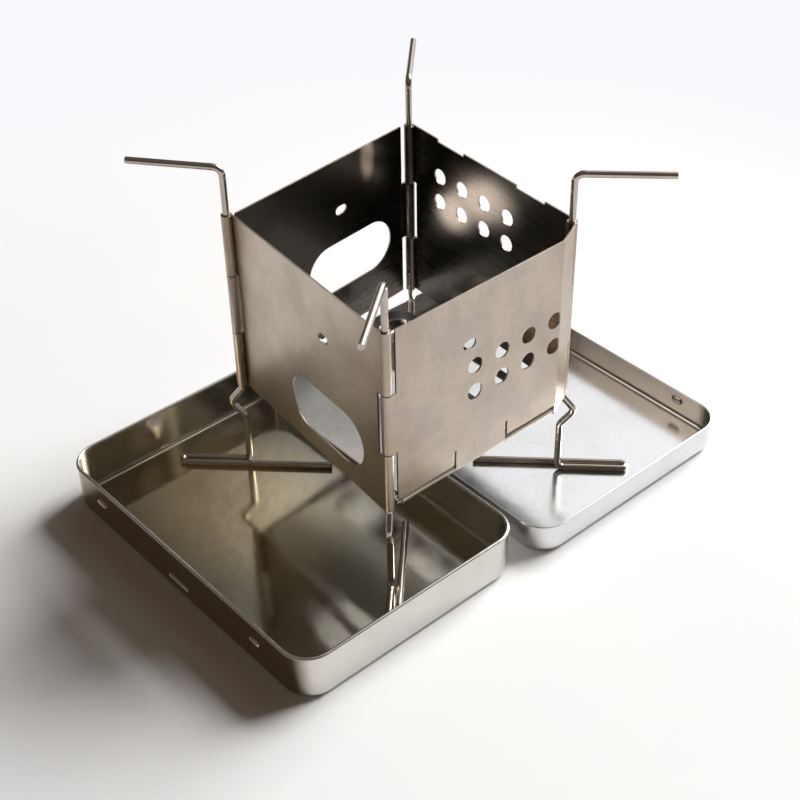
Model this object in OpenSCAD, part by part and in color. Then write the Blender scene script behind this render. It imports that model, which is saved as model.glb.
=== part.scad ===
// Folding backpacking wood stove: four hinged sheet walls, four bent corner wires
// that are hinge pins, feet and pot supports at once, a hinged fire floor, and the
// two halves of its flat case, set side by side as ash trays under the feet.
// X runs along the long sides of the case halves, Z is up, the ground is z = 0.

/* [Box] */
// Distance between neighbouring hinge axes
hinge_span = 72; // [68:0.5:74]
// Height of the four walls
wall_h = 59.4; // [54:0.3:66]
// Thickness of the walls' and the floor's sheet
sheet_t = 0.5; // [0.4:0.05:0.6]
// How far the box is racked out of square
rack_angle = 6.6; // [5:0.2:7]
// Height of the walls' lower edges above the ground
box_lift = 30.8; // [29.6:0.2:36]
// Box centre, along the case
box_x = -0.6; // [-0.7:0.1:-0.4]
// Box centre, across the case
box_y = 0.95; // [0:0.05:2.5]
// Space between a hinge roll and the cut edge beside it
edge_gap = 0.5; // [0.4:0.05:0.7]
// The same space at the corner behind on the left, which is wider
wide_gap = 1; // [0.6:0.1:1.3]
// Space between two rolls one above the other
roll_play = 0.3; // [0.2:0.05:0.5]
// Width of the seam left open in a roll
seam_w = 0.4; // [0.3:0.05:0.5]
// Radial play of a wire or pin in its roll
pin_fit = 0.05; // [0.03:0.01:0.08]
// Angle of the bent end strip of the wall with the floor hinge
strip_bend = 24; // [20:1:28]
// Set-in of that strip's hinge axis from the wall's outer face
strip_inset = 5.65; // [5:0.05:6.2]

/* [Openings in the walls] */
// Diameter of the round air holes
air_hole_d = 5.2; // [4.2:0.1:6]
// Distance between air holes in a row
air_pitch = 10.2; // [8.5:0.1:10.4]
// Air holes in a row
air_holes = 4; // [2:1:4]
// Distance between the two rows
row_pitch = 8.75; // [7:0.25:10]
// First hole from the front right hinge, wall with the floor hinge
right_hole_x = 30.2; // [26:0.2:31]
// Upper row below the top edge, wall with the floor hinge
right_row_drop = 25.2; // [24:0.2:30]
// First hole from the back left hinge, back wall
back_hole_x = 13.6; // [10:0.2:18]
// Upper row below the top edge, back wall
back_row_drop = 12.4; // [9:0.2:18]
// Length of the large rounded openings
port_l = 35.5; // [28:0.5:38]
// Height of the large rounded openings
port_h = 17; // [14:0.5:18]
// Front opening: centre from the front left hinge
front_port_x = 45; // [40:0.5:46]
// Front opening: centre above the lower edge
front_port_z = 14.4; // [13:0.2:18]
// Left opening: centre from the front left hinge
left_port_x = 46.2; // [40:0.2:47]
// Left opening: centre above the lower edge
left_port_z = 23.1; // [18:0.2:26]
// Length of the small slots near the top
slot_l = 4.6; // [3.6:0.2:6]
// Height of the small slots
slot_h = 3; // [2:0.2:3.4]
// Small slots below the top edge
slot_drop = 17.1; // [14:0.2:19]
// Small slot from the front right hinge, wall with the floor hinge
right_slot_x = 28; // [20:0.5:30]
// Small slot from the front left hinge, front wall
front_slot_x = 45.2; // [40:0.2:50]
// Small slot from the front left hinge, left wall
left_slot_x = 42.9; // [38:0.2:48]
// Width of the two shallow notches in the back wall's top edge
notch_w = 12; // [8:0.5:14]
// Depth of these notches
notch_d = 1; // [0.6:0.1:1.6]
// Distance between the notches' centres
notch_pitch = 35.3; // [30:0.1:38]

/* [Fire floor] */
// Diameter of the floor's hinge pin
floor_pin_d = 1.6; // [1.4:0.1:1.8]
// Length of each of the three floor hinge rolls
floor_roll_l = 19.5; // [16:0.5:19.5]
// First floor roll from the front right hinge
floor_roll_x = 3.7; // [3.6:0.1:3.8]
// Bare pin past the rolls at the front end
pin_tail = 1.6; // [1:0.1:1.7]
// Bare pin past the rolls at the other end
pin_head = 0.6; // [0.4:0.1:0.7]
// Height of the relief slits above the notches for the floor rolls
slit_h = 5; // [3:0.2:6]
// Width of the relief slits
slit_w = 0.9; // [0.5:0.1:1.1]
// Floor plate width, along its hinge
floor_w = 60; // [56:0.5:61]
// Floor plate reach, from the hinged wall's outer face
floor_reach = 71.2; // [64:0.2:71.4]
// Corner radius of the floor plate
floor_r = 6; // [4:0.5:8]
// Width of the floor's rounded slots
grate_w = 12; // [10:0.5:13]
// Length of the floor's rounded slots
grate_l = 54; // [40:1:56]
// Distance between the floor's slots
grate_pitch = 21; // [17:0.5:22]
// Metal left outside the last slot
grate_edge = 3; // [2.4:0.2:5]

/* [Corner wires] */
// Diameter of the corner wires
wire_d = 2; // [1.8:0.1:2.2]
// Height of the pot supports' centre line above the walls
arm_rise = 14.8; // [10:0.2:20]
// Reach of a pot support from its hinge axis
arm_reach = 27.3; // [20:0.1:27.5]
// Bend radius at the top, on the wire's centre line
arm_bend = 2.6; // [2.2:0.1:4]
// Turn of the two front pot supports against their feet
front_twist = -7; // [-9:0.5:0]
// How far the kink's corner stands out below the box, before it is rounded
kink_out = 4.3; // [2.4:0.1:4.6]
// Height of the kink
kink_h = 11; // [8:0.5:12]
// Distance of the kink below the walls
kink_drop = 1.1; // [1.1:0.05:1.6]
// Bend radius of the kink, on the wire's centre line
kink_bend = 2.4; // [1.6:0.1:2.8]
// Overlap of a straight piece of wire with the bend beside it
bend_lap = 0.2; // [0.15:0.05:0.25]
// How much thicker the wire is where it was pressed into such a bend
lap_swell = 0.04; // [0.03:0.005:0.05]
// Bend radius above the foot, on the wire's centre line
foot_bend = 2; // [1.6:0.1:3]
// Reach of a foot outward, to the outside of its turn
foot_out = 22; // [16:0.5:22]
// Reach of a foot inward, past its post
foot_in = 26; // [20:0.5:28]
// Distance between the two strands of a foot
foot_pitch = 2.6; // [2.5:0.1:2.8]

/* [Case] */
// Length of the deeper case half
case_l = 114.4; // [114:0.2:118]
// Width of the deeper case half
case_w = 79.8; // [77:0.2:82]
// Height of the deeper case half
base_h = 15.8; // [12:0.2:20]
// Height of the shallower case half
lid_h = 9.9; // [8:0.1:14]
// Thickness of the case sheet
case_t = 0.6; // [0.5:0.05:0.7]
// Play of the closed lid round the base
lid_fit = 0.1; // [0.05:0.05:0.2]
// Corner radius of the case in plan
case_r = 9; // [7:0.5:12]
// Radius of the case's lower edge
case_edge_r = 2.2; // [2:0.1:2.3]
// Diameter of the rolled rim of the base
bead_d = 1.2; // [1:0.1:1.3]
// Space between the two case halves
case_space = 5.7; // [4.5:0.1:8]
// Shift of one case half along the other
case_shift = 1.7; // [1.2:0.1:1.8]

/* [Hidden] */
$fn = 48;

// Rolls of the corner hinges
bore_r = wire_d / 2 + pin_fit;
roll_r = bore_r + sheet_t;
third_h = wall_h / 3;
cut_x = roll_r + edge_gap;
// An inward roll has its axis inside the outer face, an outward one outside it
axis_in = roll_r;
axis_out = sheet_t - roll_r;

// Rolls of the floor hinge
floor_bore_r = floor_pin_d / 2 + pin_fit;
floor_roll_r = floor_bore_r + sheet_t;
floor_notch_h = 2 * floor_roll_r + edge_gap;
near_notch_x = floor_roll_x + floor_roll_l + roll_play;
far_notch_x = floor_roll_x + 2 * floor_roll_l - roll_play;

// Plan of the box: each wall starts at its first hinge and runs counter-clockwise
turn = rack_angle / 2;
corner_long = hinge_span / 2 * (cos(turn) + sin(turn));
corner_short = hinge_span / 2 * (cos(turn) - sin(turn));
front_right = [box_x + corner_long, box_y - corner_long];
front_left = [box_x - corner_short, box_y - corner_short];
back_right = [box_x + corner_short, box_y + corner_short];
back_left = [box_x - corner_long, box_y + corner_long];

// Length of a wall between the feet of its two axes on the outer face
function face_l(y0, y1) = sqrt(hinge_span * hinge_span - (y1 - y0) * (y1 - y0));
// Direction of a wall's outer face, from the direction of its line of axes
function face_a(a, y0, y1) = a - atan2(y1 - y0, face_l(y0, y1));

right_l = face_l(axis_in, strip_inset);
strip_x = right_l - (cos(strip_bend) * strip_inset - roll_r) / sin(strip_bend);
strip_l = (right_l - strip_x) * cos(strip_bend) + strip_inset * sin(strip_bend);
front_l = face_l(axis_out, axis_in);
left_l = face_l(axis_in, axis_out);
back_l = hinge_span;

// Corner wires, measured from the ground
foot_z = case_t + wire_d / 2;
arm_z = box_lift + wall_h + arm_rise;
kink_top = box_lift - kink_drop;
kink_mid = kink_top - kink_h / 2;
kink_lean = atan2(kink_out, kink_h / 2);
kink_half = kink_h / 2 + kink_bend * tan(kink_lean / 2);
foot_turn_r = foot_pitch / 2;
foot_turn_x = foot_out - wire_d / 2 - foot_turn_r;

// Case halves, placed so that the origin is the middle of both
lid_l = case_l + 2 * (lid_fit + case_t);
lid_w = case_w + 2 * (lid_fit + case_t);
bead_out = (bead_d - case_t) / 2;
half_x = ((case_l + lid_l) / 2 + case_shift) / 2;
half_y = (case_w + lid_w + case_space) / 2;
base_pos = [case_l / 2 - half_x, case_w / 2 - half_y, 0];
lid_pos = [half_x - lid_l / 2, half_y - lid_w / 2, 0];

// Bottom and height of the roll in a third of the wall's height
function roll_z(k) = k * third_h + (k > 0 ? roll_play / 2 : 0);
function roll_len(k) = third_h - (k == 1 ? roll_play : roll_play / 2);

// A wire or pin sleeve about Z, its seam turned to an angle
module sleeve(r_out, r_in, len, seam_a) {
    difference() {
        cylinder(r = r_out, h = len);
        translate([0, 0, -len / 2]) cylinder(r = r_in, h = 2 * len);
        rotate([0, 0, seam_a])
            translate([0, -seam_w / 2, -len / 2])
                cube([2 * r_out, seam_w, 2 * len]);
    }
}

// Hinge rolls at the start of a sheet, with the tabs that carry them
module rolls_at_start(thirds, y, reach) {
    seam_a = y > 0 ? -38 : 38;
    for (k = thirds) translate([0, 0, roll_z(k)]) {
        cube([reach, sheet_t, roll_len(k)]);
        translate([0, y, 0]) sleeve(roll_r, bore_r, roll_len(k), seam_a);
    }
}

// The same at the end of a sheet of length len
module rolls_at_end(thirds, y, reach, len) {
    translate([len, 0, 0]) mirror([1, 0, 0]) rolls_at_start(thirds, y, reach);
}

// Cut through a sheet that lies on y = 0, rounded at both ends
module oblong(x, z, len, high) {
    for (s = [-1, 1]) translate([x + s * (len - high) / 2, -sheet_t, z])
        rotate([-90, 0, 0]) cylinder(d = high, h = 3 * sheet_t);
    translate([x - (len - high) / 2, -sheet_t, z - high / 2])
        cube([len - high, 3 * sheet_t, high]);
}

// Two rows of air holes, from x on in steps
module air_rows(x, step, drop) {
    for (i = [0 : air_holes - 1], j = [0, 1])
        translate([x + i * step, -sheet_t, wall_h - drop - j * row_pitch])
            rotate([-90, 0, 0]) cylinder(d = air_hole_d, h = 3 * sheet_t);
}

// Puts a wall drawn along X at its place: first hinge, direction of its axes
module place(corner, a, y0, y1) {
    translate([corner[0], corner[1], box_lift])
        rotate([0, 0, face_a(a, y0, y1)])
            translate([0, -y0, 0]) children();
}

// Places what hangs on the floor hinge, in the frame of the right wall
module at_right_wall() {
    place(front_right, 90 + turn, axis_in, strip_inset) children();
}

// Wall that carries the fire floor, with a bent strip at its far end
module panel_right() {
    color("tan") at_right_wall() {
        difference() {
            union() {
                translate([cut_x, 0, 0]) cube([strip_x - cut_x, sheet_t, wall_h]);
                rolls_at_start([1], axis_in, 2 * cut_x);
            }
            air_rows(right_hole_x, air_pitch, right_row_drop);
            oblong(right_slot_x, wall_h - slot_drop, slot_l, slot_h);
            // Notches for the floor's two rolls; the near one is open to the wall's edge
            translate([0, -sheet_t, -sheet_t])
                cube([near_notch_x, 3 * sheet_t, floor_notch_h + sheet_t]);
            translate([far_notch_x, -sheet_t, -sheet_t])
                cube([floor_roll_l + 2 * roll_play, 3 * sheet_t, floor_notch_h + sheet_t]);
            for (x = [near_notch_x - slit_w, far_notch_x])
                translate([x, -sheet_t, 0]) cube([slit_w, 3 * sheet_t, floor_notch_h + slit_h]);
            translate([floor_roll_x + floor_roll_l, -sheet_t, -sheet_t])
                cube([floor_roll_l, 3 * sheet_t, floor_roll_r + sheet_t]);
        }
        translate([floor_roll_x + floor_roll_l + roll_play, floor_roll_r, floor_roll_r])
            rotate([0, 90, 0])
                sleeve(floor_roll_r, floor_bore_r, floor_roll_l - 2 * roll_play, 212);
        translate([strip_x, 0, 0]) rotate([0, 0, strip_bend]) {
            cube([strip_l - cut_x, sheet_t, wall_h]);
            rolls_at_end([1], axis_in, 2 * cut_x, strip_l);
        }
    }
}

// Wall facing the front, with the low feed opening
module panel_front() {
    color("dimgray") place(front_left, -turn, axis_out, axis_in) difference() {
        union() {
            translate([cut_x, 0, 0]) cube([front_l - 2 * cut_x, sheet_t, wall_h]);
            rolls_at_start([0, 2], axis_out, 2 * cut_x);
            rolls_at_end([0, 2], axis_in, 2 * cut_x, front_l);
        }
        oblong(front_port_x, front_port_z, port_l, port_h);
        oblong(front_slot_x, wall_h - slot_drop, slot_l, slot_h);
    }
}

// Back wall with two rows of air holes and two notches in its top edge
module panel_back() {
    color("darkgray") place(back_right, 180 - turn, axis_in, axis_in) difference() {
        union() {
            translate([cut_x, 0, 0]) cube([back_l - 2 * cut_x, sheet_t, wall_h]);
            rolls_at_start([0, 2], axis_in, 2 * cut_x);
            rolls_at_end([0, 2], axis_in, 2 * cut_x, back_l);
        }
        air_rows(back_l - back_hole_x, -air_pitch, back_row_drop);
        for (s = [-1, 1])
            translate([back_l / 2 + s * notch_pitch / 2 - notch_w / 2, -sheet_t, wall_h - notch_d])
                cube([notch_w, 3 * sheet_t, 2 * notch_d]);
    }
}

// Wall on the left, with the high opening
module panel_left() {
    start_x = roll_r + wide_gap;
    color("gray") place(back_left, 270 + turn, axis_in, axis_out) difference() {
        union() {
            translate([start_x, 0, 0]) cube([left_l - start_x - cut_x, sheet_t, wall_h]);
            rolls_at_start([1], axis_in, 2 * start_x);
            rolls_at_end([1], axis_out, 2 * cut_x, left_l);
        }
        oblong(left_l - left_port_x, left_port_z, port_l, port_h);
        oblong(left_l - left_slot_x, wall_h - slot_drop, slot_l, slot_h);
    }
}

// Hinge pin of the fire floor, along the lower edge of the right wall
module floor_pin() {
    color("silver") at_right_wall()
        translate([floor_roll_x - pin_tail, floor_roll_r, floor_roll_r])
            rotate([0, 90, 0])
                cylinder(d = floor_pin_d, h = pin_tail + 3 * floor_roll_l + pin_head);
}

// Flat slab with rounded far corners, from y0 to the floor's reach
module floor_slab(x0, y0, wide) {
    translate([x0, y0, 0]) cube([wide, floor_reach - floor_r - y0, sheet_t]);
    translate([x0 + floor_r, y0, 0]) cube([wide - 2 * floor_r, floor_reach - y0, sheet_t]);
    for (x = [x0 + floor_r, x0 + wide - floor_r])
        translate([x, floor_reach - floor_r, 0]) cylinder(r = floor_r, h = sheet_t);
}

// Fire floor, hinged on the right wall, with two long rounded slots
module floor_plate() {
    plate_x = (right_l - floor_w) / 2;
    plate_y = floor_notch_h;
    slot_far = plate_x + floor_w - grate_edge - grate_w / 2;
    slot_end = floor_reach - grate_edge - grate_w / 2;
    color("lightgray") at_right_wall() {
        difference() {
            floor_slab(plate_x, plate_y, floor_w);
            for (k = [0, 1]) translate([slot_far - k * grate_pitch, slot_end, -sheet_t]) {
                cylinder(d = grate_w, h = 3 * sheet_t);
                translate([0, grate_w - grate_l, 0]) cylinder(d = grate_w, h = 3 * sheet_t);
                translate([-grate_w / 2, grate_w - grate_l, 0])
                    cube([grate_w, grate_l - grate_w, 3 * sheet_t]);
            }
        }
        for (k = [0, 2]) translate([floor_roll_x + k * floor_roll_l, floor_roll_r, 0]) {
            cube([floor_roll_l, 2 * floor_roll_r, sheet_t]);
            translate([0, 0, floor_roll_r]) rotate([0, 90, 0])
                sleeve(floor_roll_r, floor_bore_r, floor_roll_l, 55);
        }
    }
}

// Round bend of the wire in the X-Y plane, from one angle on
module wire_bend(r, from, by) {
    rotate([0, 0, from]) rotate_extrude(angle = by)
        translate([r, 0]) circle(d = wire_d);
}

// Kink of a wire about its middle: out along +X and back, its three corners bent round
module wire_kink() {
    mid_x = kink_out - kink_bend / cos(kink_lean);
    leg = norm([kink_out, kink_h / 2]) - kink_bend * (tan(kink_lean / 2) + tan(kink_lean));
    for (s = [-1, 1])
        translate([kink_bend, 0, s * kink_half]) rotate([90, 0, 0])
            wire_bend(kink_bend, s > 0 ? 180 : 180 - kink_lean, kink_lean);
    translate([mid_x, 0, 0]) rotate([90, 0, 0]) wire_bend(kink_bend, -kink_lean, 2 * kink_lean);
    for (s = [-1, 1])
        translate([mid_x + kink_bend * cos(kink_lean), 0, s * kink_bend * sin(kink_lean)])
            rotate([0, s > 0 ? -kink_lean : 180 + kink_lean, 0]) translate([0, 0, -bend_lap])
                cylinder(d = wire_d + lap_swell, h = leg + 2 * bend_lap);
}

// Corner wire about its hinge axis: its foot points along +X, its support arm a twist from that
module corner_wire(corner, a, twist) {
    post_z = kink_mid + kink_half;
    leg_z = foot_z + foot_bend;
    color("silver") translate([corner[0], corner[1], 0]) rotate([0, 0, a]) {
        rotate([0, 0, twist]) {
            translate([arm_bend, 0, arm_z]) rotate([0, 90, 0])
                cylinder(d = wire_d, h = arm_reach - arm_bend);
            translate([arm_bend, 0, arm_z - arm_bend]) rotate([90, 0, 0])
                wire_bend(arm_bend, 90, 90);
        }
        translate([0, 0, post_z]) cylinder(d = wire_d, h = arm_z - arm_bend - post_z);
        translate([0, 0, arm_z - arm_bend - bend_lap])
            cylinder(d = wire_d + lap_swell, h = 2 * bend_lap);
        translate([0, 0, kink_mid]) wire_kink();
        translate([0, 0, leg_z]) cylinder(d = wire_d, h = kink_mid - kink_half - leg_z);
        translate([foot_bend, 0, foot_z + foot_bend]) rotate([90, 0, 0])
            wire_bend(foot_bend, 180, 90);
        translate([foot_bend, 0, foot_z]) rotate([0, 90, 0])
            cylinder(d = wire_d, h = foot_turn_x - foot_bend);
        translate([foot_turn_x, foot_turn_r, foot_z]) wire_bend(foot_turn_r, -90, 180);
        translate([-foot_in, foot_pitch, foot_z]) rotate([0, 90, 0])
            cylinder(d = wire_d, h = foot_in + foot_turn_x);
    }
}

module wire_front_right() { corner_wire(front_right, -45, front_twist); }
module wire_front_left() { corner_wire(front_left, 225, front_twist); }
module wire_back_right() { corner_wire(back_right, 45, 0); }
module wire_back_left() { corner_wire(back_left, 135, 0); }

// Section of a case wall: x from the corner's centre, y up
module case_section(r, h, bead) {
    edge = case_edge_r;
    difference() {
        intersection() {
            translate([r - edge, edge]) circle(r = edge);
            translate([r - edge, 0]) square([edge, edge]);
        }
        translate([r - edge, edge]) circle(r = edge - case_t);
    }
    translate([r - case_t, edge]) square([case_t, h - edge - bead / 2]);
    translate([r - case_t / 2, h - bead / 2]) circle(d = bead, $fn = 24);
}

// Open tray with rounded corners and a round rim
module tray(l, w, h, bead) {
    swell = (bead - case_t) / 2;
    r = case_r - swell;
    sx = l - 2 * case_r;
    sy = w - 2 * case_r;
    flat_r = r - case_edge_r;
    for (a = [0, 180]) rotate([0, 0, a]) {
        translate([sx / 2, 0, 0]) rotate([90, 0, 0])
            linear_extrude(sy, center = true) case_section(r, h, bead);
        rotate([0, 0, 90]) translate([sy / 2, 0, 0]) rotate([90, 0, 0])
            linear_extrude(sx, center = true) case_section(r, h, bead);
        translate([sx / 2, sy / 2, 0]) rotate_extrude(angle = 90) case_section(r, h, bead);
        translate([-sx / 2, sy / 2, 0]) rotate([0, 0, 90])
            rotate_extrude(angle = 90) case_section(r, h, bead);
    }
    translate([-sx / 2 - flat_r, -sy / 2, 0]) cube([sx + 2 * flat_r, sy, case_t]);
    translate([-sx / 2, -sy / 2 - flat_r, 0]) cube([sx, sy + 2 * flat_r, case_t]);
    for (x = [-sx / 2, sx / 2], y = [-sy / 2, sy / 2])
        translate([x, y, 0]) cylinder(r = flat_r, h = case_t);
}

// Deeper half of the case, with a rolled rim
module case_base() { color("lightgray") translate(base_pos) tray(case_l, case_w, base_h, bead_d); }

// Shallower half, which closes over the base
module case_lid() { color("gainsboro") translate(lid_pos) tray(lid_l, lid_w, lid_h, case_t); }

panel_right();
panel_front();
panel_back();
panel_left();
floor_plate();
floor_pin();
wire_front_right();
wire_front_left();
wire_back_right();
wire_back_left();
case_base();
case_lid();
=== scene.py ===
"""Folding wood stove standing in the two halves of its case: finishes, light and camera."""
import math

import bpy
from mathutils import Matrix, Vector


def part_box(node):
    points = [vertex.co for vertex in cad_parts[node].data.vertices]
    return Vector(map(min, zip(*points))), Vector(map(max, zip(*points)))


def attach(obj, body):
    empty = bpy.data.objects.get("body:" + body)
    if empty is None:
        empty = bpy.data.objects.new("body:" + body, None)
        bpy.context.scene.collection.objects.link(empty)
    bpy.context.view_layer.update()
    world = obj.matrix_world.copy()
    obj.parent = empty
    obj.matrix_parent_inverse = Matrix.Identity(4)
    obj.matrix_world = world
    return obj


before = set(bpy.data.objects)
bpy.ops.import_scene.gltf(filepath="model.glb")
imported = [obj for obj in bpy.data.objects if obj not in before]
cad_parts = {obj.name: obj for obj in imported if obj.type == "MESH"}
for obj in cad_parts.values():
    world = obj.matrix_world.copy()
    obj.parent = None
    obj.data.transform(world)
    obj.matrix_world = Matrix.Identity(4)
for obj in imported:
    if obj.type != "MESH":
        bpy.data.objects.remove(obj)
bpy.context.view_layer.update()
scene = bpy.context.scene
scene.view_settings.view_transform = "Standard"

MM = 0.001


def mm(*values):
    """Millimetres as a tuple of metres."""
    return tuple(value * MM for value in values)


def scaled(colour, share):
    """A colour made darker or lighter."""
    return [channel * share for channel in colour]


# Node helpers

class Tree:
    """Small helper that adds nodes to a tree and links values to their inputs."""

    def __init__(self, tree):
        self.tree = tree
        tree.nodes.clear()

    def add(self, kind, inputs=None, **settings):
        node = self.tree.nodes.new(kind)
        for key, value in settings.items():
            setattr(node, key, value)
        for key, value in (inputs or {}).items():
            self.set(node.inputs[key], value)
        return node

    def set(self, target, value):
        """Links an input, or gives it a value of its own."""
        if isinstance(value, bpy.types.NodeSocket):
            self.tree.links.new(value, target)
        else:
            target.default_value = value

    def math(self, operation, a, b=0.0):
        return self.add("ShaderNodeMath", {0: a, 1: b}, operation=operation).outputs[0]

    def vector(self, operation, a, b=(0.0, 0.0, 0.0)):
        return self.add("ShaderNodeVectorMath", {0: a, 1: b}, operation=operation).outputs[0]

    def dot(self, a, b):
        node = self.add("ShaderNodeVectorMath", {0: a, 1: b}, operation="DOT_PRODUCT")
        return node.outputs["Value"]

    def length(self, a):
        node = self.add("ShaderNodeVectorMath", {0: a}, operation="LENGTH")
        return node.outputs["Value"]

    def part(self, vector, axis):
        return self.add("ShaderNodeSeparateXYZ", {0: vector}).outputs[axis]

    def stretch(self, vector, scale):
        return self.add("ShaderNodeMapping", {"Vector": vector, "Scale": scale}).outputs[0]

    def noise(self, vector, scale, detail=3.0, rough=0.55):
        node = self.add("ShaderNodeTexNoise", {"Vector": vector, "Scale": scale,
                                               "Detail": detail, "Roughness": rough})
        return node.outputs["Fac"]

    def remap(self, value, low, high, to_low=0.0, to_high=1.0):
        """Smooth step between two levels."""
        node = self.add("ShaderNodeMapRange", {"Value": value, "From Min": low, "From Max": high,
                                               "To Min": to_low, "To Max": to_high},
                        interpolation_type="SMOOTHSTEP")
        return node.outputs[0]

    def mix(self, factor, a, b):
        """Colour a where factor is 0, b where it is 1."""
        node = self.add("ShaderNodeMix", {"Factor": factor}, data_type="RGBA")
        for socket, value in (("A", a), ("B", b)):
            target = next(s for s in node.inputs if s.name == socket and s.type == "RGBA")
            plain = not isinstance(value, bpy.types.NodeSocket)
            self.set(target, (*value, 1.0) if plain else value)
        return next(s for s in node.outputs if s.type == "RGBA")

    def seen(self):
        """1 for rays of the camera and of mirror or glass, 0 for those that carry light."""
        ray = self.add("ShaderNodeLightPath").outputs
        mirror = self.math("MAXIMUM", ray["Is Glossy Ray"], ray["Is Transmission Ray"])
        return self.math("MAXIMUM", ray["Is Camera Ray"], mirror)

    def within(self, vector, low, high, radius):
        """Distance in plan from a box with rounded corners, negative inside."""
        middle = [(a + b) / 2 for a, b in zip(low[:2], high[:2])]
        straight = [(b - a) / 2 - radius for a, b in zip(low[:2], high[:2])]
        moved = self.vector("SUBTRACT", vector, (*middle, 0.0))
        flat = self.vector("MULTIPLY", moved, (1.0, 1.0, 0.0))
        past = self.vector("SUBTRACT", self.vector("ABSOLUTE", flat), (*straight, 0.0))
        far = self.length(self.vector("MAXIMUM", past))
        widest = self.math("MAXIMUM", self.part(past, "X"), self.part(past, "Y"))
        near = self.math("MINIMUM", widest, 0.0)
        return self.math("SUBTRACT", self.math("ADD", far, near), radius)

    def blob(self, vector, centre, radii):
        """1 at centre, falling softly to 0 at the ellipsoid of these radii."""
        moved = self.add("ShaderNodeMapping", {"Vector": vector, "Location": centre,
                                               "Scale": radii}, vector_type="TEXTURE")
        return self.remap(self.length(moved.outputs[0]), 0.25, 1.0, 1.0, 0.0)

    def surface(self, shader, output):
        end = self.add(output)
        self.tree.links.new(shader.outputs[0], end.inputs["Surface"])


# Steel finishes

# Noise scales in features per metre, from wide clouds to fine specks
HAZE, CLOUD, MOTTLE, SPECK = 21.0, 55.0, 190.0, 900.0
# Stretch of the brush marks: along an axis, or finer and even for the drawn trays
ALONG_X = (260.0, 2400.0, 5200.0)
ALONG_Y = (2400.0, 260.0, 5200.0)
ALONG_Z = (3800.0, 3800.0, 220.0)
EVEN = (900.0, 900.0, 2600.0)
# The wide streaks are this share of the stretch of the fine marks
STREAK = 0.16
# Strength of the marks' and the mottle's colour for each unit of relief
MARK_COLOUR = 3.6

WALL = (0.55, 0.475, 0.395)
WALL_TINT = (0.475, 0.405, 0.375)
FRONT_TINT = (0.45, 0.38, 0.31)
WIRE = (0.54, 0.48, 0.42)
CASE = (0.70, 0.685, 0.645)
LID = (0.76, 0.765, 0.765)
FLOOR = (0.84, 0.83, 0.81)
# Painted shade: near-black colour for the faces inside the box, standing in for the shade they
# lie in
INNER_SHADE = (0.1, 0.09, 0.075)
DIRT = (0.3, 0.26, 0.22)
STAIN = (0.33, 0.245, 0.17)
# Painted shade: near-black colour for the cut edges in the gaps beside the hinge rolls
GAP_SHADE = (0.07, 0.06, 0.05)
# Painted reflections: pale tan patches of light on the inner faces of the back and left walls
TAN_REFLECTION = (0.80, 0.66, 0.54)
RUST = (0.95, 0.66, 0.42)
# Painted reflection: olive patch on the base tray's floor
OLIVE_REFLECTION = (1.0, 0.89, 0.60)
# Colour of the painted highlight on a tray's inner wall
BRIGHT = (1.0, 0.97, 0.9)

# Distances from a wall's middle: where its brown stain begins and is full, and where the cut
# edges beside the hinge rolls lie, which are painted dark as shade in the gaps
STAIN_FROM, STAIN_FULL = 19.0 * MM, 34.0 * MM
CUT_FROM, CUT_TO = 31.0 * MM, 34.2 * MM
TRAY_CORNER = 9.0 * MM
GLINT_RADII = mm(4.0, 7.0, 9.0)
EDGE_ROUND = 0.12 * MM
MARK_DEPTH, DENT_DEPTH = 0.05 * MM, 0.6 * MM


def painted_inner_shade(t, at, normal, haze, way, colour=INNER_SHADE, top=None, patches=(), start=None):
    """Mask and colour of the painted shade on the side that faces way, below the height top: a
    dark colour that stands in for the shade inside. Each patch is a centre, radii and a colour;
    some patches are painted reflections, one is rust. start is an axis and the place on it before
    which nothing counts as inner, where a hinge roll stands outside the box."""
    mask = t.remap(t.dot(normal, way), 0.35, 0.8)
    if top is not None:
        below = t.remap(t.part(at, "Z"), top, top + 1.5 * MM, 1.0, 0.0)
        mask = t.math("MULTIPLY", mask, below)
    if start is not None:
        axis, place = start
        mask = t.math("MULTIPLY", mask, t.math("GREATER_THAN", t.part(at, axis), place))
    painted_light = t.mix(t.remap(haze, 0.4, 0.75, 0.0, 0.5), colour, scaled(colour, 1.5))
    for centre, radii, shade in patches:
        painted_light = t.mix(t.blob(at, centre, radii), painted_light, shade)
    return mask, painted_light


def painted_tray_shade(t, at, normal, haze, body, node, rim, shade, outer_shade, glint=None):
    """The body colour with a tray's painted shade on it: shade on its walls' inner faces up to
    the height rim, and a darker colour on its outer face towards -Y, both standing in for the
    shade they lie in.
    glint is the place of a painted highlight, a bright spot on an inner wall."""
    low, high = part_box(node)
    inside = t.remap(t.within(at, low, high, TRAY_CORNER), -0.5 * MM, -0.3 * MM, 1.0, 0.0)
    # Painted shade: the outer face towards -Y is darkened
    outer = t.math("MULTIPLY", t.remap(t.dot(normal, (0.0, -1.0, 0.0)), 0.5, 0.95),
                   t.math("SUBTRACT", 1.0, inside))
    body = t.mix(outer, body, outer_shade)
    # Painted shade on the inner faces of the walls, up to the rim
    height = t.part(at, "Z")
    band = t.math("MULTIPLY", t.remap(height, 0.8 * MM, 1.6 * MM),
                  t.remap(height, rim - 0.5 * MM, rim, 1.0, 0.0))
    painted_light = t.mix(t.remap(haze, 0.4, 0.75, 0.0, 0.6), shade, scaled(shade, 1.4))
    # Painted highlight: a bright spot at glint
    if glint is not None:
        painted_light = t.mix(t.blob(at, glint, GLINT_RADII), painted_light, BRIGHT)
    return t.mix(t.math("MULTIPLY", inside, band), body, painted_light)


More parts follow.
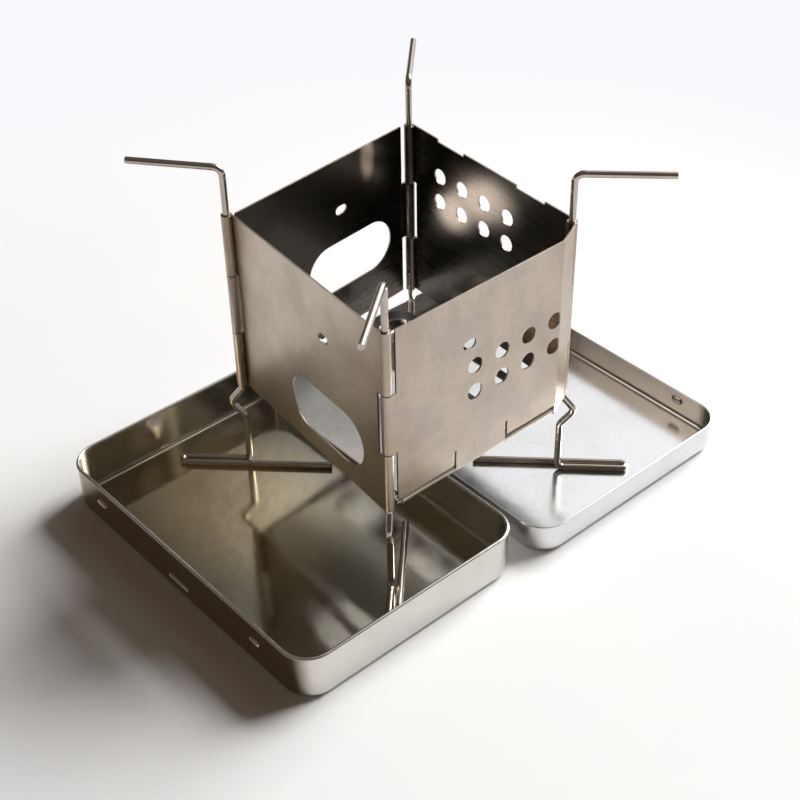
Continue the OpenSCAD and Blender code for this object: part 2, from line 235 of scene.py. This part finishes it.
def steel(name, colour, tint, roughness, grain, inner=None, ends=None, tray=None, relief=0.1,
          smudge=0.6):
    """Brushed steel. grain is the stretch of the brush marks, relief their depth and smudge the
    strength of the darker clouds. inner and tray are the settings for the painted shade, painted
    reflections and painted highlight on inner faces and on a tray's outer face towards -Y. ends
    is an axis and a wall's middle on it, for the stains beside its hinge rolls and the painted
    shade on the cut edges there."""
    material = bpy.data.materials.new(name)
    material.use_nodes = True
    t = Tree(material.node_tree)
    place = t.add("ShaderNodeTexCoord")
    at, normal = place.outputs["Object"], place.outputs["Normal"]

    fine = t.noise(t.stretch(at, grain), 1.0, 4.0, 0.6)
    streak = t.noise(t.stretch(at, scaled(grain, STREAK)), 1.0, 2.0)
    cloud = t.noise(at, CLOUD)
    haze = t.noise(at, HAZE, 4.0, 0.6)
    mottle = t.noise(t.stretch(at, (1.0, 1.0, 0.55)), MOTTLE, 4.0, 0.7)
    speck = t.noise(at, SPECK, 2.0)

    marks = MARK_COLOUR * relief
    body = t.mix(t.remap(cloud, 0.42, 0.62, 0.0, 0.9), colour, tint)
    body = t.mix(t.remap(haze, 0.5, 0.72, 0.0, smudge), body, scaled(colour, 0.82))
    body = t.mix(t.remap(mottle, 0.45, 0.7, 0.0, marks), body, scaled(colour, 0.66))
    body = t.mix(t.remap(fine, 0.3, 0.7, 0.0, marks), body, scaled(colour, 0.62))
    body = t.mix(t.remap(speck, 0.66, 0.78, 0.0, 0.35), body, DIRT)
    worn = t.math("ADD", t.math("MULTIPLY", fine, 0.10), t.math("MULTIPLY", streak, 0.10))
    rough = t.math("ADD", worn, roughness - 0.10)
    rough = t.math("ADD", rough, t.remap(haze, 0.45, 0.75, 0.0, 0.08))

    if ends is not None:
        axis, middle = ends
        far = t.math("ABSOLUTE", t.math("SUBTRACT", t.part(at, axis), middle))
        stain = t.math("MULTIPLY", t.remap(far, STAIN_FROM, STAIN_FULL),
                       t.remap(haze, 0.38, 0.62, 0.15, 0.75))
        body = t.mix(stain, body, STAIN)
    # Painted shade on the inner faces, with painted reflections in some patches
    if inner is not None:
        facing, painted_light = painted_inner_shade(t, at, normal, haze, **inner)
        body = t.mix(facing, body, painted_light)
        rough = t.math("SUBTRACT", rough, t.math("MULTIPLY", facing, 0.06))
    # Painted shade: the cut edges beside the hinge rolls turn near black, as the gaps there lie
    # in shade
    if ends is not None:
        beside = t.math("MULTIPLY", t.math("GREATER_THAN", far, CUT_FROM),
                        t.math("LESS_THAN", far, CUT_TO))
        endwise = t.remap(t.math("ABSOLUTE", t.part(normal, axis)), 0.7, 0.85)
        cut = t.math("MULTIPLY", beside, endwise)
        body = t.mix(cut, body, GAP_SHADE)
        rough = t.math("ADD", rough, t.math("MULTIPLY", cut, 0.3))
    if tray is not None:
        body = painted_tray_shade(t, at, normal, haze, body, **tray)

    rounded = t.add("ShaderNodeBevel", {"Radius": EDGE_ROUND}, samples=4).outputs[0]
    height = t.math("ADD", t.math("MULTIPLY", fine, 0.7), t.math("MULTIPLY", streak, 0.3))
    brushed = t.add("ShaderNodeBump", {"Strength": relief, "Distance": MARK_DEPTH,
                                       "Height": height, "Normal": rounded}).outputs[0]
    dented = t.add("ShaderNodeBump", {"Strength": 0.12, "Distance": DENT_DEPTH,
                                      "Height": cloud, "Normal": brushed}).outputs[0]
    t.surface(t.add("ShaderNodeBsdfPrincipled", {"Base Color": body, "Metallic": 1.0,
                                                 "Roughness": rough, "Normal": dented}),
              "ShaderNodeOutputMaterial")
    return material


# Each wall faces the box's inside. Its middle lies off the axis, because the box is racked.
finishes = {
    "panel_right": steel("steel_wall_right", WALL, WALL_TINT, 0.36, ALONG_Y,
                         inner={"way": (-1, 0, 0)}, ends=("Y", -1.1 * MM)),
    "panel_front": steel("steel_wall_front", WALL, FRONT_TINT, 0.34, ALONG_X,
                         inner={"way": (0, 1, 0), "start": ("X", -32.6 * MM)},
                         ends=("X", 1.5 * MM)),
    "panel_back": steel("steel_wall_back", WALL, WALL_TINT, 0.34, ALONG_X,
                        # The tan patches here and on the left wall are painted reflections; the
                        # third patch is rust
                        inner={"way": (0, -1, 0),
                               "patches": [(mm(-6, 36, 79), mm(22, 20, 13), TAN_REFLECTION),
                                           (mm(-19, 36, 68.5), mm(13, 20, 10), TAN_REFLECTION),
                                           (mm(22, 36, 50), mm(16, 20, 14), RUST)]},
                        ends=("X", -2.7 * MM)),
    "panel_left": steel("steel_wall_left", WALL, WALL_TINT, 0.34, ALONG_Y,
                        inner={"way": (1, 0, 0), "start": ("Y", -31.2 * MM),
                               "patches": [(mm(-36, 21.5, 86), mm(20, 4, 10), TAN_REFLECTION)]},
                        ends=("Y", 3.0 * MM)),
    # The floor plate's faces towards +X get painted shade
    "floor_plate": steel("steel_floor", FLOOR, (0.78, 0.76, 0.73), 0.4, ALONG_X,
                         inner={"way": (1, 0, 0), "colour": (0.40, 0.34, 0.28)}),
    "floor_pin": steel("steel_pin", WIRE, WALL_TINT, 0.24, ALONG_Y),
    # The base tray floor's darker colour is painted shade and its olive patch a painted
    # reflection
    "case_base": steel("steel_case_base", CASE, (0.67, 0.65, 0.61), 0.17, EVEN,
                       inner={"way": (0, 0, 1), "colour": (0.42, 0.40, 0.34), "top": 3.0 * MM,
                              "patches": [(mm(-23, -48, 0), mm(52, 36, 50), OLIVE_REFLECTION)]},
                       tray={"node": "case_base", "rim": 14.7 * MM, "shade": (0.62, 0.60, 0.54),
                             "outer_shade": (0.37, 0.305, 0.235), "glint": mm(-57, -56, 10)},
                       relief=0.03, smudge=0.15),
    "case_lid": steel("steel_case_lid", LID, (0.73, 0.73, 0.725), 0.19, EVEN,
                      tray={"node": "case_lid", "rim": 9.7 * MM, "shade": (0.42, 0.405, 0.38),
                            "outer_shade": (0.58, 0.575, 0.56)},
                      relief=0.012, smudge=0.12),
}
wire_steel = steel("steel_wire", WIRE, (0.49, 0.42, 0.37), 0.2, ALONG_Z, relief=0.08)
for name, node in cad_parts.items():
    node.data.materials.clear()
    node.data.materials.append(finishes.get(name, wire_steel))


# Lugs pressed out of the case walls

LUG_HEIGHT, LUG_RISE = 2.6 * MM, 0.7 * MM
LUG_SINK, LUG_TIP = 0.05 * MM, 0.03 * MM
LUG_RINGS, LUG_STEPS = 7, 32


def lug(name, body, x, y, z, length, finish):
    """Oblong lug along X that stands towards -Y from the face at y. Sizes are in mm."""
    straight = (length * MM - LUG_HEIGHT) / 2
    points, faces = [], []
    for ring in range(LUG_RINGS):
        angle = math.pi / 2 * ring / (LUG_RINGS - 1)
        radius = max(LUG_HEIGHT / 2 * math.cos(angle), LUG_TIP)
        for step in range(LUG_STEPS):
            turn = 2 * math.pi * (step + 0.5) / LUG_STEPS
            shift = straight if math.cos(turn) > 0 else -straight
            points.append((x * MM + shift + radius * math.cos(turn),
                           y * MM - (LUG_RISE * math.sin(angle) - LUG_SINK),
                           z * MM + radius * math.sin(turn)))
    for ring in range(LUG_RINGS - 1):
        for step in range(LUG_STEPS):
            a = ring * LUG_STEPS + step
            b = ring * LUG_STEPS + (step + 1) % LUG_STEPS
            faces.append((a, b, b + LUG_STEPS, a + LUG_STEPS))
    faces.append(tuple((LUG_RINGS - 1) * LUG_STEPS + step for step in range(LUG_STEPS)))
    faces.append(tuple(reversed(range(LUG_STEPS))))
    mesh = bpy.data.meshes.new(name)
    mesh.from_pydata(points, [], faces)
    mesh.polygons.foreach_set("use_smooth", [True] * len(mesh.polygons))
    mesh.materials.append(finish)
    piece = bpy.data.objects.new(name, mesh)
    scene.collection.objects.link(piece)
    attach(piece, body)


# Outer face of the base's wall and inner face of the lid's, both towards -Y
BASE_FACE, LID_FACE = -83.05, 82.75
for name, x, z, length in (("lug_base_left", -39.6, 8.8, 4.4),
                           ("lug_base_middle", -1.2, 4.6, 9.5),
                           ("lug_base_right", 34.4, 8.8, 4.4)):
    lug(name, "base_tray", x, BASE_FACE, z, length, finishes["case_base"])
for name, x in (("lug_lid_right", 40.4), ("lug_lid_left", -39.4)):
    lug(name, "lid_tray", x, LID_FACE, 6.4, 4.4, finishes["case_lid"])


# Table top, room and light

# Colour of the backdrop, which the table turns to between these distances from the stove
PALE = (0.94, 0.95, 0.975)
PALE_FROM, PALE_FULL = 0.12, 0.30


def ground():
    """Wide round table top under the stove, far enough out to reach the horizon."""
    bpy.ops.mesh.primitive_circle_add(vertices=96, radius=6.0, fill_type="NGON")
    top = bpy.context.object
    top.name = "table_top"
    material = bpy.data.materials.new("pale_table")
    material.use_nodes = True
    t = Tree(material.node_tree)
    at = t.add("ShaderNodeTexCoord").outputs["Object"]
    paper = t.mix(t.remap(t.noise(at, 9.0, 2.0), 0.3, 0.7), (0.92, 0.93, 0.94),
                  (0.94, 0.95, 0.955))
    lit = t.add("ShaderNodeBsdfDiffuse", {"Color": paper}).outputs[0]
    pale = t.add("ShaderNodeEmission", {"Color": (*PALE, 1.0)}).outputs[0]
    fade = t.math("MULTIPLY", t.seen(), t.remap(t.length(at), PALE_FROM, PALE_FULL))
    t.surface(t.add("ShaderNodeMixShader", {0: fade, 1: lit, 2: pale}),
              "ShaderNodeOutputMaterial")
    top.data.materials.append(material)


def room():
    """Pale backdrop for the camera. Metal shows a warm dim room with a bright window, pale round
    the horizon, and the light that the room gives is dimmer still."""
    world = bpy.data.worlds.new("room")
    scene.world = world
    world.use_nodes = True
    t = Tree(world.node_tree)
    way = t.add("ShaderNodeTexCoord").outputs["Generated"]
    lift = t.part(way, "Z")
    window_way = Vector((-0.14, 0.78, 0.61)).normalized()
    window = t.remap(t.dot(way, window_way), 0.79, 0.90)
    walls = t.mix(t.remap(lift, 0.2, 0.95), (0.075, 0.055, 0.038), (0.17, 0.15, 0.125))
    lit = t.mix(window, walls, (1.15, 1.15, 1.17))
    mirrored = t.mix(t.remap(lift, 0.01, 0.06), PALE, lit)
    fill = t.mix(window, (0.066, 0.046, 0.030), (0.34, 0.32, 0.295))
    shade = t.mix(t.seen(), fill, mirrored)
    shade = t.mix(t.add("ShaderNodeLightPath").outputs["Is Camera Ray"], shade, PALE)
    t.surface(t.add("ShaderNodeBackground", {"Color": shade, "Strength": 1.0}),
              "ShaderNodeOutputWorld")


def soft_box(name, azimuth, elevation, distance, width, height, watts, colour):
    """Rectangular lamp aimed at the stove. Azimuth counts from +X towards +Y."""
    a, e = math.radians(azimuth), math.radians(elevation)
    way = Vector((math.cos(a) * math.cos(e), math.sin(a) * math.cos(e), math.sin(e)))
    lamp = bpy.data.lights.new(name, "AREA")
    lamp.shape = "RECTANGLE"
    lamp.size, lamp.size_y = width, height
    lamp.energy = watts
    lamp.color = colour
    holder = bpy.data.objects.new(name, lamp)
    scene.collection.objects.link(holder)
    holder.location = way * distance
    holder.rotation_mode = "QUATERNION"
    holder.rotation_quaternion = way.to_track_quat("Z", "Y")


ground()
room()
soft_box("window_light", azimuth=86, elevation=37, distance=3.2, width=1.8, height=1.5,
         watts=170.0, colour=(1.0, 0.99, 0.98))


# Camera

def camera(azimuth, elevation, roll, distance, aim, lens, sensor=36.0, near=0.01, far=50.0):
    """Camera at the photograph's place. Azimuth 0 looks along +Y."""
    a, e, r = math.radians(azimuth), math.radians(elevation), math.radians(roll)
    back = Vector((math.sin(a) * math.cos(e), -math.cos(a) * math.cos(e), math.sin(e)))
    right = Vector((math.cos(a), math.sin(a), 0))
    up = back.cross(right)
    level = (math.cos(r) * right + math.sin(r) * up, math.cos(r) * up - math.sin(r) * right, back)
    holder = bpy.data.objects.new("photo_camera", bpy.data.cameras.new("photo_camera"))
    scene.collection.objects.link(holder)
    holder.data.lens, holder.data.sensor_width = lens, sensor
    holder.data.clip_start, holder.data.clip_end = near, far
    holder.rotation_mode = "QUATERNION"
    holder.rotation_quaternion = Matrix(level).transposed().to_quaternion()
    holder.location = aim + distance * back
    scene.camera = holder


camera(azimuth=49.12, elevation=38.16, roll=-1.08, distance=460.13 * MM,
       aim=Vector(mm(-1.3, 1.0, 25.8)), lens=68.46)
